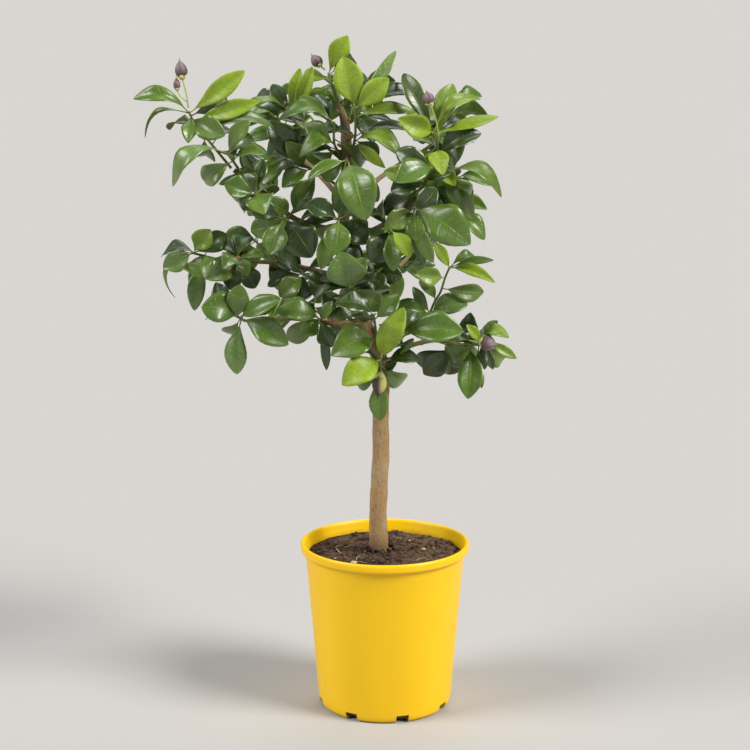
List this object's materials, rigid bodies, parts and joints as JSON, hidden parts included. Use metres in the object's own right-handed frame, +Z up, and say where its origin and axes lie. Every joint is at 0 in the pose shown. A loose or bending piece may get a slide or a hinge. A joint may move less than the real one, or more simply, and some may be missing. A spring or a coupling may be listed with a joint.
{
  "type": "potted lemon tree",
  "caption": "Young lemon tree with a bare trunk, a leafy crown and purple flower buds, growing in a round yellow nursery pot filled with soil.",
  "frame": {"origin": "centre of the pot's flat underside, on the surface that it stands on", "axes": "+Z up along the pot's axis, -Y towards the side that the crown shows best, +X to the right as seen from there"},
  "size_m": [0.4264, 0.3051, 0.7857],
  "materials": {
    "yellow_plastic": "satin injection-moulded plastic, warm yellow",
    "potting_soil": "moist dark potting mix of peat and composted bark, crumbly",
    "bark": "grey-tan bark, smooth low down and rough and brown higher up",
    "leaf": "leathery glossy leaf, dark green when old and yellow-green when young",
    "flower_bud": "matt waxy bud, purple with a pale tip, in a yellow-green cup"
  },
  "bodies": {
    "root": {"branch_back_left": "bark", "branch_back_low": "bark", "branch_back_right": "bark", "branch_back_right_top": "bark", "branch_left": "bark", "branch_left_low": "bark", "branch_left_top": "bark", "branch_right": "bark", "branch_right_low": "bark", "branch_right_top": "bark", "bud_hanging": "flower_bud", "bud_left_mid": "flower_bud", "bud_left_tip": "flower_bud", "bud_left_upper": "flower_bud", "bud_low_left": "flower_bud", "bud_new_growth": "flower_bud", "bud_right_low": "flower_bud", "bud_right_top": "flower_bud", "bud_top": "flower_bud", "pot": "yellow_plastic", "soil": "potting_soil", "sprig_back_centre": "leaf", "sprig_back_left": "leaf", "sprig_back_left_low": "leaf", "sprig_back_left_top": "leaf", "sprig_back_low": "leaf", "sprig_back_right": "leaf", "sprig_back_right_out": "leaf", "sprig_back_right_top": "leaf", "sprig_back_top": "leaf", "sprig_centre_back": "leaf", "sprig_centre_front": "leaf", "sprig_centre_left": "leaf", "sprig_centre_low": "leaf", "sprig_centre_right": "leaf", "sprig_front_low": "leaf", "sprig_inner_left_top": "leaf", "sprig_left_hanging": "leaf", "sprig_left_inner": "leaf", "sprig_left_low_inner": "leaf", "sprig_left_low_tip": "leaf", "sprig_left_mid": "leaf", "sprig_left_mid_inner": "leaf", "sprig_left_mid_tip": "leaf", "sprig_left_tip": "leaf", "sprig_left_under": "leaf", "sprig_left_upper": "leaf", "sprig_new_growth": "leaf", "sprig_right_low_back": "leaf", "sprig_right_low_leaf": "leaf", "sprig_right_low_tip": "leaf", "sprig_right_mid": "leaf", "sprig_right_mid_low": "leaf", "sprig_right_mid_top": "leaf", "sprig_right_top": "leaf", "sprig_right_top_side": "leaf", "sprig_top": "leaf", "sprig_top_left": "leaf", "sprig_top_right": "leaf", "trunk": "bark"}
  },
  "joints": []
}
